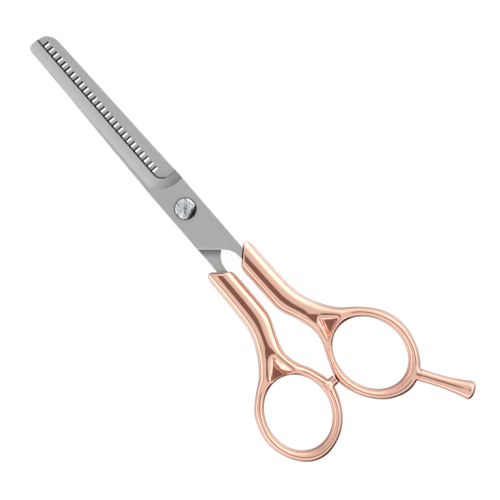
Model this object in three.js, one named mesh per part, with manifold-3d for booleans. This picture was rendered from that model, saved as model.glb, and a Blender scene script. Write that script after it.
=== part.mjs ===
// Thinning (hair cutting) shears with cast finger bows and a screwed-in finger rest.
// Millimetres. The pivot axis is Z, +X runs to the blade tips, +Y to the thumb bow, and the
// shears lie flat with their underside on z = 0 and the screw head on top.
import * as THREE from 'three';
import { mergeVertices } from 'three/addons/utils/BufferGeometryUtils.js';
import Module from 'manifold-3d';

const wasm = await Module();
wasm.setup();

// ---- driving dimensions -------------------------------------------------------------------

const COMB_THICK = 2.85;            // lower blade, flat on the table at the ricasso
const PLAIN_THICK = 2.5;            // upper blade
const BLADE_GAP = 0.1;              // running gap between the two ride faces
const RIDE = COMB_THICK + BLADE_GAP / 2;      // middle plane of the whole tool
const PLAIN_LOW = COMB_THICK + BLADE_GAP;
const PLAIN_TOP = PLAIN_LOW + PLAIN_THICK;

const ARM_THICK = 2 * RIDE;         // bow arms, the thickest part of the handles
const RING_THICK = 4.3;             // finger rings
const RIM = 1.0;                    // rim left round the raised middle of an arm
const RING_ROUND = { size: 1.15, height: 1.6, steps: 3 };   // rounded rims of ring and arm
const ARM_ROUND = { size: 1.1, height: 0.75, steps: 3 };
const POCKET_DEPTH = 1.6;           // of the hollow where arm and ring meet, below the arm's face
const SEAT_GAP = 0.3;               // gap between cast bow and steel
const STOP = { x: [-64.2, -61.5], y: [-0.3, 1.9], thick: 3.2 };   // stub that meets the finger ring

const BLADE_END = 62.2;             // tips
const SPINE_HALF = 4.95;            // half width across the ricasso
const TAPER_X = 8.3;                // from here the spines close in towards the tips ...
const SPINE_TAPER = 0.0217;         // ... by this slope
const STEP_X = -10.7;               // the ricasso's corner, where the slanted step down starts
const CROTCH_X = -15;               // and where the step reaches the middle line
const SHANK = { inner: 2.65, outer: 4.93 };   // the shank's two edges, from the middle line
const EDGE_Y = 0.15;                // cutting edge of the plain blade
const GRIND_X = 12.8;               // where the blade grinds start
const GRIND_SQUASH = 0.8;           // the start of the grind is an ellipse, shorter along X
// Sections of the two grinds as [distance from the grind's middle line, height in the blade].
const PLAIN_GRIND = { y: EDGE_Y - 3.55, section: [[3.55, 0.35], [4.05, 1.45], [7.35, PLAIN_THICK]] };
const TOOTH_TIP_Y = 1.8;            // the teeth reach a little under the plain blade
const COMB_GRIND = { y: TOOTH_TIP_Y + 1.6, section: [[1.5, 1.6], [4.6, 0.6], [7.2, 0]] };

const SLOTS = 26;
const SLOT_PITCH = 1.83;
const FIRST_SLOT = 13.95;
const SLOT_TOP = 1.05;              // slot width at the ride face
const SLOT_LOW = 0.7;               // slot width at the underside
const SLOT_END_Y = -1.6;            // closed end of the slots
const NOTCH = { half: 0.28, depth: 0.3 };     // V cut in each tooth's tip

const SCREW_R = 2.0;
const HEAD_R = 3.05;
const HEAD_H = 1.2;
const HEAD_RIM = 0.35;              // upright rim below the dome
const SLOT_W = 0.8;                 // screwdriver slot
const SLOT_DEPTH = 0.7;
const SLOT_ANGLE = 122;             // degrees from +X
const BORE_R = SCREW_R + 0.06;      // running clearance round the screw
const WASHER_R = 2.85;
const WASHER_THICK = 0.3;
const STACK_GAP = 0.05;             // gap between screw head, washer and blade

const REST_SEAT = [-77.25, -18.92]; // where the finger rest meets its ring
const REST_ANGLE = 212.1;           // its direction in plan, degrees from +X
const REST_LENGTH = 15.95;
const REST_PROFILE = [              // [along, radius], waisted and flared
  [0.2, 1.75], [1.6, 1.7], [4.6, 1.66], [7.2, 1.74], [9.7, 1.94], [12.1, 2.24], [14.1, 2.62],
  [14.7, 2.64], [15.2, 2.42], [15.6, 1.9], [15.85, 1.1],
];
const STUD_R = 1.0;                 // threaded end of the finger rest
const STUD_LENGTH = 2.0;
const SEAT_PAD = { r: 1.75, from: -1.6, to: -0.15 };      // flat pad on the ring under the rest

const TANG = { width: 2.0, thick: 1.8, start: -18.6, end: -31 };
const OVER = 1;                     // a cutter runs this far past the faces it opens
const BEYOND = 80;                  // and this is past the end of everything

// A bow is one closed smooth outline round arm and ring, and an elliptical finger hole.
// Points run from the front of the arm along its outer edge, round the ring and back.
const THUMB_BOW = {
  side: 1,
  outline: [
    [-14, 8.1], [-30, 8.4], [-37.5, 9.05], [-43, 11.3], [-48.2, 14.9], [-52.1, 19.55],
    [-56.4, 23.4], [-63.6, 25.45], [-70.6, 23.8], [-75.6, 19.8], [-77.1, 14.3], [-74.9, 8.0],
    [-70.2, 3.55], [-63.5, 1.0], [-57, 2.35], [-52.5, 4.6], [-48, 5.45], [-43.5, 4.2],
    [-38, 2.0], [-33, 1.5], [-14, 1.37],
  ],
  hole: { x: -63.1, y: 13.4, a: 10.75, b: 9.2, tilt: -0.26 },
  pocket: [[-46.9, 8.5], [-51.2, 13.4], [-53.2, 6.9]],
  front: [[-21.5, 1.9], [-18.1, 6.0]],      // two points on the slanted front face
  nose: [[-18.2, 5.9], [-16.9, 7.7], [-19.6, 8.13]],
  tang: { y: 4.0, z: 1.75 },
};
const FINGER_BOW = {
  side: -1,
  outline: [
    [-14, -7.5], [-30, -7.7], [-37, -8.25], [-42.5, -10.2], [-48, -13.8], [-52.2, -18.8],
    [-57.3, -23.05], [-64, -24.8], [-71.2, -23.3], [-76.6, -19.5], [-78.6, -13.9], [-76.4, -7.6],
    [-70.9, -2.85], [-63.8, -0.6], [-57.8, -2.3], [-52.8, -4.35], [-48.6, -4.85], [-43.5, -3.4],
    [-38.3, -1.3], [-33, -0.97], [-14, -0.7],
  ],
  hole: { x: -63.65, y: -12.6, a: 11.3, b: 9.15, tilt: 0.19 },
  pocket: [[-47.4, -8.1], [-50.3, -11.8], [-52.1, -6.6]],
  front: [[-22.5, -1.0], [-18.1, -5.2]],
  nose: [[-18.2, -5.1], [-16.8, -7.2], [-19.5, -7.56]],
  tang: { y: -3.9, z: 4.1 },
};

// ---- solids: three.js geometry in, manifold booleans, three.js geometry out ----------------

function solid(geometry) {
  const bare = geometry.index ? geometry.toNonIndexed() : geometry.clone();
  for (const name of Object.keys(bare.attributes)) {
    if (name !== 'position') bare.deleteAttribute(name);
  }
  const merged = mergeVertices(bare, 1e-4);
  return new wasm.Manifold(new wasm.Mesh({
    numProp: 3,
    vertProperties: new Float32Array(merged.attributes.position.array),
    triVerts: new Uint32Array(merged.index.array),
  }));
}

function geometryOf(body) {
  const mesh = body.getMesh();
  const geometry = new THREE.BufferGeometry();
  const positions = new Float32Array(mesh.vertProperties);
  geometry.setAttribute('position', new THREE.BufferAttribute(positions, 3));
  geometry.setIndex(new THREE.BufferAttribute(new Uint32Array(mesh.triVerts), 1));
  geometry.computeVertexNormals();
  return geometry;
}

const vectors = (points) => points.map(([x, y]) => new THREE.Vector2(x, y));

// An outline pulled up from z = low to z = high; round = { size, height, steps } rounds both rims.
function pulled(points, low, high, round = null) {
  const rim = round ? round.height : 0;
  const geometry = new THREE.ExtrudeGeometry(new THREE.Shape(vectors(points)), {
    depth: high - low - 2 * rim,
    bevelEnabled: Boolean(round),
    bevelThickness: rim,
    bevelSize: round ? round.size : 0,
    bevelOffset: round ? -round.size : 0,
    bevelSegments: round ? round.steps : 0,
  });
  return solid(geometry.translate(0, 0, low + rim));
}

function box(x0, x1, y0, y1, z0, z1) {
  const geometry = new THREE.BoxGeometry(x1 - x0, y1 - y0, z1 - z0);
  return solid(geometry.translate((x0 + x1) / 2, (y0 + y1) / 2, (z0 + z1) / 2));
}

// A profile of [radius, height] points turned about Z.
function turned(profile, segments, place = (geometry) => geometry) {
  return solid(place(new THREE.LatheGeometry(vectors(profile), segments).rotateX(Math.PI / 2)));
}

function disc(radius, low, high, segments = 32) {
  return turned([[0, low], [radius, low], [radius, high], [0, high]], segments);
}

// A smooth curve through the points.
const smooth = (points, perSpan) => new THREE.SplineCurve(vectors(points))
  .getPoints(perSpan * (points.length - 1)).map((p) => [p.x, p.y]);

// A rounded corner between two points, drawn towards the control point.
const corner = (from, control, to, steps = 5) => new THREE.QuadraticBezierCurve(
  ...vectors([from, control, to]),
).getPoints(steps).map((p) => [p.x, p.y]);

// Points of a quarter circle, as [cosine, sine] pairs from 0 to 90 degrees.
const quarter = (steps) => Array.from({ length: steps + 1 }, (_, i) => {
  const turn = (i / steps) * (Math.PI / 2);
  return [Math.cos(turn), Math.sin(turn)];
});

const subtractAll = (body, cutters) => cutters.reduce((left, cutter) => left.subtract(cutter), body);

// ---- blades -------------------------------------------------------------------------------

const spineY = (x) => SPINE_HALF - SPINE_TAPER * Math.max(x - TAPER_X, 0);

// Where the line of a bow's front face, moved forward by the seat gap, is at height y.
function shoulderX(bow, y) {
  const [[x0, y0], [x1, y1]] = bow.front;
  const slope = (x1 - x0) / (y1 - y0);
  return x0 + slope * (y - y0) + SEAT_GAP * Math.hypot(1, slope);
}

// Shank and ricasso outline, shared by both blades, which are mirror images here. It runs from
// the ricasso's corner down the slanted step and round the shank's inner edge to its outer edge.
function shank(bow) {
  const s = bow.side;
  const inner = s * SHANK.inner;
  const outer = s * SHANK.outer;
  const crotch = [
    [CROTCH_X, 0], [CROTCH_X - 1.5, 0.57 * inner], [CROTCH_X - 3.2, 0.89 * inner],
    [shoulderX(bow, inner), inner],
  ];
  return [[STEP_X, -s * SPINE_HALF], ...smooth(crotch, 3), [shoulderX(bow, outer), outer]];
}

// The tang that runs from the shank into the bow, or with some play the socket round it.
function tangOf(bow, play) {
  const { y, z } = bow.tang;
  const half = TANG.width / 2 + play;
  const thick = TANG.thick / 2 + play;
  return box(TANG.end - play, TANG.start + play, y - half, y + half, z - thick, z + thick);
}

// A blade grind: the path of a wheel whose section, [distance from the middle line, z], starts
// in an elliptical end at GRIND_X and runs off past the tips on one side of the middle line.
function grind(middleY, section, side) {
  const end = turned(section, 40, (g) => g.scale(GRIND_SQUASH, 1, 1).translate(GRIND_X, middleY, 0));
  const reach = section.map(([r, z]) => [z, middleY + side * r]);
  const run = new THREE.ExtrudeGeometry(new THREE.Shape(vectors(reach)), {
    depth: BEYOND, bevelEnabled: false,
  });
  // The section is drawn in (z, y) and pulled along X.
  const axes = new THREE.Matrix4().makeBasis(
    new THREE.Vector3(0, 0, 1), new THREE.Vector3(0, 1, 0), new THREE.Vector3(-1, 0, 0),
  );
  return solid(run.applyMatrix4(axes).translate(GRIND_X + BEYOND, 0, 0)).add(end);
}

function plainBlade() {
  const tipSpine = spineY(BLADE_END);
  const tip = corner([BLADE_END - 1.8, tipSpine], [BLADE_END, tipSpine], [BLADE_END, 2.3]);
  const outline = [
    ...shank(FINGER_BOW).reverse(),
    [TAPER_X, SPINE_HALF], ...tip, [BLADE_END, -SPINE_HALF], [TAPER_X, -SPINE_HALF],
  ].reverse();
  const { y, section } = PLAIN_GRIND;
  const bevel = section.map(([r, h]) => [r, PLAIN_LOW + h]);
  const edge = section[0][0];
  const top = PLAIN_TOP + OVER;
  const path = [[0, 0], [edge, 0], ...bevel, [bevel[2][0], top], [0, top]];
  const rest = box(GRIND_X, BEYOND, y - BEYOND, y + OVER, 0, top);
  return pulled(outline, PLAIN_LOW, PLAIN_TOP)
    .add(tangOf(FINGER_BOW, 0))
    .subtract(grind(y, path, 1).add(rest))
    .subtract(disc(BORE_R, 0, top));
}

// One slot of the comb: an upright wall on its heel side and a slanted one on its tip side.
function slotCutter(centre) {
  const heel = centre - SLOT_TOP / 2;
  const length = BEYOND;
  const section = [
    [heel, -OVER], [heel + SLOT_LOW, -OVER], [heel + SLOT_LOW, 0], [heel + SLOT_TOP, COMB_THICK],
    [heel + SLOT_TOP, COMB_THICK + OVER], [heel, COMB_THICK + OVER],
  ];
  const geometry = new THREE.ExtrudeGeometry(new THREE.Shape(vectors(section)), {
    depth: length, bevelEnabled: false,
  });
  return solid(geometry.rotateX(Math.PI / 2).translate(0, SLOT_END_Y + length, 0));
}

function notchCutter(centre) {
  const mouth = TOOTH_TIP_Y + 0.02;
  const points = [
    [centre - NOTCH.half, mouth], [centre, TOOTH_TIP_Y - NOTCH.depth], [centre + NOTCH.half, mouth],
  ];
  return pulled(points, -OVER, COMB_THICK + OVER);
}

function combBlade() {
  const tipSpine = -spineY(BLADE_END);
  const tip = corner([BLADE_END - 3.6, tipSpine], [BLADE_END, tipSpine + 0.9], [BLADE_END, -0.3]);
  const heel = corner([GRIND_X - 2.6, 3.4], [GRIND_X - 2, TOOTH_TIP_Y], [GRIND_X, TOOTH_TIP_Y], 4);
  const outline = [
    ...shank(THUMB_BOW),
    [TAPER_X, SPINE_HALF], [GRIND_X - 3.2, SPINE_HALF - 0.2], ...heel,
    [BLADE_END - 0.5, TOOTH_TIP_Y], [BLADE_END, TOOTH_TIP_Y - 0.5],
    ...tip.reverse(), [TAPER_X, -SPINE_HALF],
  ].reverse();
  const { y, section } = COMB_GRIND;
  const [first] = section;
  const last = section[section.length - 1];
  const path = [[0, -OVER], [last[0], -OVER], ...[...section].reverse(), [0, first[1]]];
  const slotCentres = Array.from({ length: SLOTS }, (_, i) => FIRST_SLOT + i * SLOT_PITCH);
  const toothCentres = slotCentres.map((x) => x + SLOT_PITCH / 2);
  return subtractAll(
    pulled(outline, 0, COMB_THICK).add(tangOf(THUMB_BOW, 0)),
    [
      grind(y, path, -1),
      disc(BORE_R, -OVER, COMB_THICK + OVER),
      ...slotCentres.map(slotCutter),
      ...toothCentres.map(notchCutter),
    ],
  );
}

// ---- cast bows ----------------------------------------------------------------------------

// The finger hole, with the same rounded rim as the outline of the ring.
function holeCutter({ x, y, a, b, tilt }) {
  const low = RIDE - RING_THICK / 2;
  const flare = RING_ROUND.size / ((a + b) / 2);
  const rim = quarter(RING_ROUND.steps).map(([cos, sin]) => [
    1 + flare * (1 - sin), RING_ROUND.height * (1 - cos),
  ]);
  const below = rim.map(([r, h]) => [r, low + h]);
  const above = rim.map(([r, h]) => [r, low + RING_THICK - h]).reverse();
  const top = ARM_THICK + OVER;
  const profile = [[0, -OVER], [1 + flare, -OVER], ...below, ...above, [1 + flare, top], [0, top]];
  return turned(profile, 44, (g) => g.scale(a, b, 1).rotateZ(tilt).translate(x, y, 0));
}

// Everything ahead of the slanted front face and its rounded nose.
function frontCutter(spec) {
  const s = spec.side;
  const [[x0, y0], [x1, y1]] = spec.front;
  const past = [x0 - (x1 - x0), y0 - (y1 - y0)];
  const outerY = s * 12;
  const outside = [
    past, ...corner(...spec.nose), [spec.nose[2][0], outerY], [-8, outerY], [-8, past[1]],
  ];
  return pulled(outside, -OVER, ARM_THICK + OVER);
}

function bow(spec) {
  const s = spec.side;
  const ringLow = RIDE - RING_THICK / 2;
  const plate = pulled(smooth(spec.outline, 4), ringLow, ringLow + RING_THICK, RING_ROUND);
  // The raised middle of the arm is the arm's own outline moved in by the rim.
  const outer = spec.outline.slice(0, 4).map(([x, y]) => [x, y - s * RIM]);
  const inner = spec.outline.slice(-4).map(([x, y]) => [x, y + s * RIM]);
  const ridge = pulled([...smooth(outer, 3), ...smooth(inner, 3)], 0, ARM_THICK, ARM_ROUND);
  const pockets = [
    pulled(spec.pocket, -OVER, POCKET_DEPTH),
    pulled(spec.pocket, ARM_THICK - POCKET_DEPTH, ARM_THICK + OVER),
  ];
  return subtractAll(
    plate.add(ridge),
    [holeCutter(spec.hole), ...pockets, frontCutter(spec), tangOf(spec, SEAT_GAP)],
  );
}

// A frame whose +Z leaves the finger ring along the finger rest.
function alongRest(geometry) {
  return geometry.rotateY(Math.PI / 2)
    .rotateZ(THREE.MathUtils.degToRad(REST_ANGLE))
    .translate(...REST_SEAT, RIDE);
}

// A cylinder on the finger rest's axis.
function restCylinder(radius, from, to, segments) {
  return turned([[0, from], [radius, from], [radius, to], [0, to]], segments, alongRest);
}

function fingerBow() {
  const seat = restCylinder(SEAT_PAD.r, SEAT_PAD.from, SEAT_PAD.to, 32);
  const drill = restCylinder(STUD_R + 0.06, -STUD_LENGTH - SEAT_GAP, OVER, 24);
  return bow(FINGER_BOW).add(seat).subtract(drill);
}

function thumbBow() {
  const half = STOP.thick / 2;
  return bow(THUMB_BOW).add(box(...STOP.x, ...STOP.y, RIDE - half, RIDE + half));
}

// ---- screw, washer and finger rest --------------------------------------------------------

function pivotScrew() {
  const low = PLAIN_TOP + WASHER_THICK + 2 * STACK_GAP;
  const crown = quarter(6).map(([cos, sin]) => [
    HEAD_R * cos, low + HEAD_RIM + (HEAD_H - HEAD_RIM) * sin,
  ]);
  crown[crown.length - 1][0] = 0;
  const profile = [[0, 0], [SCREW_R, 0], [SCREW_R, low], [HEAD_R, low], ...crown];
  const slot = new THREE.BoxGeometry(2 * (HEAD_R + OVER), SLOT_W, 2 * SLOT_DEPTH)
    .translate(0, 0, low + HEAD_H)
    .rotateZ(THREE.MathUtils.degToRad(SLOT_ANGLE));
  return turned(profile, 40).subtract(solid(slot));
}

function pivotWasher() {
  const low = PLAIN_TOP + STACK_GAP;
  const high = low + WASHER_THICK;
  return disc(WASHER_R, low, high, 40).subtract(disc(BORE_R, low - OVER, high + OVER));
}

function fingerRest() {
  const profile = [
    [0, -STUD_LENGTH], [STUD_R, -STUD_LENGTH], [STUD_R, REST_PROFILE[0][0]],
    ...REST_PROFILE.map(([along, radius]) => [radius, along]),
    [0, REST_LENGTH],
  ];
  return turned(profile, 32, alongRest);
}

// ---- the assembly -------------------------------------------------------------------------

const steel = { color: 0xa9abac, metalness: 1.0, roughness: 0.36 };
const roseGold = { color: 0xe8b49e, metalness: 1.0, roughness: 0.16 };
const polished = { color: 0xc4c6c8, metalness: 1.0, roughness: 0.12 };
const nylon = { color: 0xdedcd6, metalness: 0.0, roughness: 0.55 };

const PIECES = [
  ['plain_blade', plainBlade, steel],
  ['comb_blade', combBlade, steel],
  ['finger_bow', fingerBow, roseGold],
  ['thumb_bow', thumbBow, roseGold],
  ['pivot_screw', pivotScrew, polished],
  ['pivot_washer', pivotWasher, nylon],
  ['finger_rest', fingerRest, roseGold],
];

const shears = new THREE.Group();
for (const [name, make, look] of PIECES) {
  const mesh = new THREE.Mesh(geometryOf(make()), new THREE.MeshStandardMaterial(look));
  mesh.name = name;
  shears.add(mesh);
}

export default shears;
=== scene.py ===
"""Looks of the thinning shears: finely meshed blades, cast bows, screw, washer and finger rest
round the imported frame, on a white light table. Lengths are in millimetres until a mesh is made."""
import math

import bpy
import numpy as np
from mathutils import Matrix, Vector
from mathutils.geometry import delaunay_2d_cdt


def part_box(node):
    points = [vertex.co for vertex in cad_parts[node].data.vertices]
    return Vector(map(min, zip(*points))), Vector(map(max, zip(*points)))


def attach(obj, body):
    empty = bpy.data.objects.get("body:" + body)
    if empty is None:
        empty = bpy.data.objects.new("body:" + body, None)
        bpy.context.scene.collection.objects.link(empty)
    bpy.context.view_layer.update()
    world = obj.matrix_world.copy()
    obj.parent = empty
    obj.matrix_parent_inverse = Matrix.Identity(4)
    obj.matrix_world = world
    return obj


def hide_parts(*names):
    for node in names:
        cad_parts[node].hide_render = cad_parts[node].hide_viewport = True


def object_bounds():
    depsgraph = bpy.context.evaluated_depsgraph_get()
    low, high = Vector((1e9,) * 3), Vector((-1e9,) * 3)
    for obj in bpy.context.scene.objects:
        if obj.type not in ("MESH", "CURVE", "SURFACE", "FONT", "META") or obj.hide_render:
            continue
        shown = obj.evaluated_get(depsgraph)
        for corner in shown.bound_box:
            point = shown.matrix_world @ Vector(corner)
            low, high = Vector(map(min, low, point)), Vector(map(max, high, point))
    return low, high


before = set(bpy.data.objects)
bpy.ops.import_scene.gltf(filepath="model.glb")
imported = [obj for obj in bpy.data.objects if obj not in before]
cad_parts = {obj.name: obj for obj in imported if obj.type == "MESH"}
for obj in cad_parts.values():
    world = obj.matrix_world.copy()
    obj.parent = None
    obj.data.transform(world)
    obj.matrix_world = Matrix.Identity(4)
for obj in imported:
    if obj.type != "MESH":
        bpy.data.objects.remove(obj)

MM = 0.001
cad_low, cad_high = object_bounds()


def span(node):
    """Lowest and highest corner of a CAD node, in millimetres."""
    low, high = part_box(node)
    return np.array(low) / MM, np.array(high) / MM


# ---- levels and places, from the frame ----

plain_low, plain_high = span("plain_blade")
comb_low, comb_high = span("comb_blade")
bow_low, bow_high = span("thumb_bow")
screw_low, screw_high = span("pivot_screw")
washer_low, washer_high = span("pivot_washer")

PLAIN_Z = (plain_low[2], plain_high[2])
COMB_Z = (comb_low[2], comb_high[2])
BLADE_END = plain_high[0]
RIDE = (bow_low[2] + bow_high[2]) / 2  # middle plane of the bows
ARM_HALF = (bow_high[2] - bow_low[2]) / 2  # half the arm's thickness
SCREW_FOOT = screw_low[2]
HEAD_LOW = washer_high[2] + 0.03  # underside of the screw's head
HEAD_TOP = screw_high[2]

# ---- driving dimensions ----

RING_HALF = 2.15  # half the ring's thickness
SPINE_HALF = 4.95  # half width across the ricasso
TAPER_X = 8.3  # from here the spines close in towards the tips ...
SPINE_TAPER = 0.0217  # ... by this slope
STEP_X = -10.7  # corner of the ricasso's slanted step
CROTCH_X = -15.0
SHANK_INNER = 2.65
SHANK_OUTER = 4.93
SHANK_GAP = 0.04  # between the end of a shank and its bow
EDGE_Y = 0.15  # cutting edge of the plain blade
EDGE_LAND = 0.5  # width of the fine bevel along the edge
EDGE_FADE_Y = -1.5  # below this the bevel has the hollow grind's steel, not the edge's painted shade
GRIND_X = 12.8  # where the blade grinds start ...
GRIND_SQUASH = 0.8  # ... as ellipses this much shorter than wide
PLAIN_GRIND_Y = EDGE_Y - 3.55
PLAIN_GRIND_R = (3.55, 7.35)  # radii of the grind's edge and crest
EDGE_HEIGHTS = (0.35, 1.45)  # of the fine bevel's two edges, above the ride face
COMB_GRIND_Y = 3.4
COMB_GRIND_R = (1.5, 7.2)
COMB_RELIEF = 1.6  # depth of the comb's grind on its underside
TOOTH_TIP_Y = 1.8
NOTCH_HALF = 0.28  # V notches in the tips of the teeth
NOTCH_DEPTH = 0.3

SLOTS = 26
SLOT_PITCH = 1.83
FIRST_SLOT = 13.95
SLOT_TOP = 1.05  # a slot's width on top, and on the underside
SLOT_LOW = 0.7
SLOT_END_Y = -1.6
SLOT_CORNER = 0.3

HEAD_R = 3.05
SCREW_R = 2.0
BORE_R = 2.06
HEAD_RISE = 1.05  # rise of the screw's head from its edge to its middle
SCREW_CHAMFER = 0.25
SLOT_W = 0.7  # screwdriver slot
SLOT_DEPTH = 0.55
SLOT_REACH = 2.95
SLOT_ANGLE = math.radians(135)
HEAD_CHAMFER = 0.08
HEAD_MESH = 0.16  # spacing of the points over the head
SLOT_WALL = 0.05  # run of the slot's walls
WASHER_R = 2.85
WASHER_EDGE = 0.06

REST_SEAT = (-77.25, -18.92)
REST_ANGLE = math.radians(212.1)
REST_LENGTH = 15.95
REST_PROFILE = [  # (distance along the rest, radius)
    (0.0, 1.4), (0.08, 1.66), (0.25, 1.75), (1.6, 1.7), (4.6, 1.66), (7.2, 1.74), (9.7, 1.94),
    (12.1, 2.24), (13.8, 2.55), (14.5, 2.64), (15.0, 2.52), (15.4, 2.16), (15.7, 1.6), (15.88, 0.8),
]
STUD_R = 1.0
STUD_LENGTH = 2.0
STUD_CHAMFER = 0.1
REST_STEPS = 160
THREAD = {"start": -1.85, "end": -0.2, "pitch": 0.4, "depth": 0.16}

THUMB_BOW = {
    "side": 1,
    "outline": [
        (-14, 8.1), (-30, 8.4), (-37.5, 9.05), (-43, 11.3), (-48.2, 14.9), (-52.1, 19.55),
        (-56.4, 23.4), (-63.6, 25.45), (-70.6, 23.8), (-75.6, 19.8), (-77.1, 14.3), (-74.9, 8.0),
        (-70.2, 3.55), (-63.5, 1.0), (-57, 2.35), (-52.5, 4.6), (-48, 5.45), (-43.5, 4.2),
        (-38, 2.0), (-33, 1.5), (-14, 1.37),
    ],
    "hole": (-63.1, 13.4, 10.75, 9.2, -0.26),
    "front": ((-21.5, 1.9), (-18.1, 6.0)),
    "nose": ((-18.2, 5.9), (-16.9, 7.7), (-20.0, 8.22)),
    "heel": ((-24.0, 1.42), (-21.9, 1.38), (-21.2, 2.15)),
    "round": (1.5, 1.1),  # reach of the front's rounding, and height where it ends
    "crest": -0.1,  # how far the arm's crest stands off its middle, to the gap
    # The pocket where arm and ring meet: its corners, the slope of the wall from each corner to
    # the next, and the height of its floor over the middle plane.
    "pocket": ((-47.0, 8.6), (-51.6, 13.3), (-53.3, 7.2)),
    "walls": (9.0, 9.0, 0.74),
    "floor": 0.7,
}
FINGER_BOW = {
    "side": -1,
    "outline": [
        (-14, -7.5), (-30, -7.7), (-37, -8.25), (-42.5, -10.2), (-48, -13.8), (-52.2, -18.8),
        (-57.3, -23.05), (-64, -24.8), (-71.2, -23.3), (-76.6, -19.5), (-78.6, -13.9),
        (-76.4, -7.6), (-70.9, -2.85), (-63.8, -0.6), (-57.8, -2.3), (-52.8, -4.35),
        (-48.6, -4.85), (-43.5, -3.4), (-38.3, -1.3), (-33, -0.97), (-14, -0.7),
    ],
    "hole": (-63.65, -12.6, 11.3, 9.15, 0.19),
    "front": ((-22.5, -1.0), (-18.1, -5.2)),
    "nose": ((-18.2, -5.1), (-16.8, -7.2), (-19.5, -7.56)),
    "heel": ((-24.6, -0.8), (-22.6, -0.76), (-21.6, -1.75)),
    "round": (1.1, 1.1),
    "crest": 0.3,
    "pocket": ((-47.5, -8.0), (-52.9, -6.4), (-50.4, -11.9)),
    "walls": (0.85, 3.0, 9.0),
    "floor": 1.3,
}

SHARP_ANGLE = math.radians(32)  # steeper edges than this are shaded sharp

# ---- plane curves ----


def smooth(points, spacing):
    """A Catmull-Rom curve through the points, sampled about every `spacing`."""
    p = np.array(points, float)
    padded = np.vstack([p[:1], p, p[-1:]])
    out = []
    for a, b, c, d in zip(padded, padded[1:], padded[2:], padded[3:]):
        steps = max(2, int(np.linalg.norm(c - b) / spacing))
        t = np.linspace(0, 1, steps, endpoint=False)[:, None]
        v0, v1 = (c - a) / 2, (d - b) / 2
        cubic = 2 * b - 2 * c + v0 + v1
        square = 3 * c - 3 * b - 2 * v0 - v1
        out.append(cubic * t**3 + square * t**2 + v0 * t + b)
    return np.vstack(out + [p[-1:]])


def corner(start, control, end, steps=8):
    """A rounded corner from start to end, drawn towards control."""
    a, b, c = (np.array(p, float) for p in (start, control, end))
    t = np.linspace(0, 1, steps + 1)[:, None]
    return (1 - t) ** 2 * a + 2 * t * (1 - t) * b + t**2 * c


def ellipse(x, y, a, b, tilt=0.0, steps=96):
    turn = np.linspace(0, 2 * math.pi, steps, endpoint=False)
    u, v = a * np.cos(turn), b * np.sin(turn)
    return np.stack([x + u * math.cos(tilt) - v * math.sin(tilt),
                     y + u * math.sin(tilt) + v * math.cos(tilt)], 1)


def divided(points, spacing, closed=True):
    """The same polyline with no step longer than `spacing`."""
    p = np.array(points, float)
    ends = np.vstack([p[1:], p[:1]]) if closed else p[1:]
    out = []
    for a, b in zip(p, ends):
        steps = max(1, int(math.ceil(np.linalg.norm(b - a) / spacing)))
        out.append(a + (b - a) * np.arange(steps)[:, None] / steps)
    if not closed:
        out.append(p[-1:])
    return np.vstack(out)


def signed_area(loop):
    x, y = loop[:, 0], loop[:, 1]
    return 0.5 * np.sum(x * np.roll(y, -1) - y * np.roll(x, -1))


def segments_of(loop):
    """Starts and ends of a closed loop's segments."""
    return loop, np.roll(loop, -1, axis=0)


def distance(points, starts, ends):
    """Distance from each point to the nearest of the segments."""
    best = np.full(len(points), 1e9)
    for a, b in zip(starts, ends):
        along = b - a
        t = np.clip((points - a) @ along / max(along @ along, 1e-12), 0, 1)
        best = np.minimum(best, np.linalg.norm(points - a - t[:, None] * along, axis=1))
    return best


def to_line(points, line):
    return distance(points, line[:-1], line[1:])


def to_loop(points, loop):
    return distance(points, *segments_of(loop))


def inside(points, loop):
    """Which points lie inside a closed loop."""
    x, y = points[:, 0], points[:, 1]
    odd = np.zeros(len(points), bool)
    for (x0, y0), (x1, y1) in zip(loop, np.roll(loop, -1, axis=0)):
        if y0 != y1:
            odd ^= ((y0 > y) != (y1 > y)) & (x < x0 + (y - y0) * (x1 - x0) / (y1 - y0))
    return odd


def step(value, low, high):
    """Smooth step from 0 at low to 1 at high."""
    t = np.clip((value - low) / (high - low), 0, 1)
    return t * t * (3 - 2 * t)


# ---- plates: a flat region filled with triangles, given a top and an underside ----


def compact(tris, count):
    """Which of `count` points the triangles use, and the triangles renumbered to those."""
    used = np.unique(tris)
    index = np.full(count, -1)
    index[used] = np.arange(len(used))
    return used, index[tris]


def fill(add, cut, lines, loose):
    """Triangles of everything inside an `add` loop and outside every `cut` loop, with edges
    along the lines and corners at the loose points."""
    verts, edges, faces = [], [], []
    for loop in (*add, *cut):
        loop = loop if signed_area(loop) > 0 else loop[::-1]
        faces.append(list(range(len(verts), len(verts) + len(loop))))
        verts += [Vector(p) for p in loop]
    for line in lines:
        first = len(verts)
        verts += [Vector(p) for p in line]
        edges += [(first + i, first + i + 1) for i in range(len(line) - 1)]
    verts += [Vector(p) for p in loose]
    out, _, tris, _, _, origin = delaunay_2d_cdt(verts, edges, faces, 0, 1e-5)
    adds = set(range(len(add)))
    kept = [t for t, src in zip(tris, origin) if adds & set(src) and not set(src) - adds]
    used, tris = compact(np.array(kept), len(out))
    return np.array([out[i] for i in used]), tris


def rim_edges(tris):
    """Directed edges that belong to one triangle only."""
    directed = np.vstack([tris[:, [0, 1]], tris[:, [1, 2]], tris[:, [2, 0]]])
    key = np.sort(directed, 1)
    _, first, count = np.unique(key, axis=0, return_index=True, return_counts=True)
    return directed[first[count == 1]]


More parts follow.
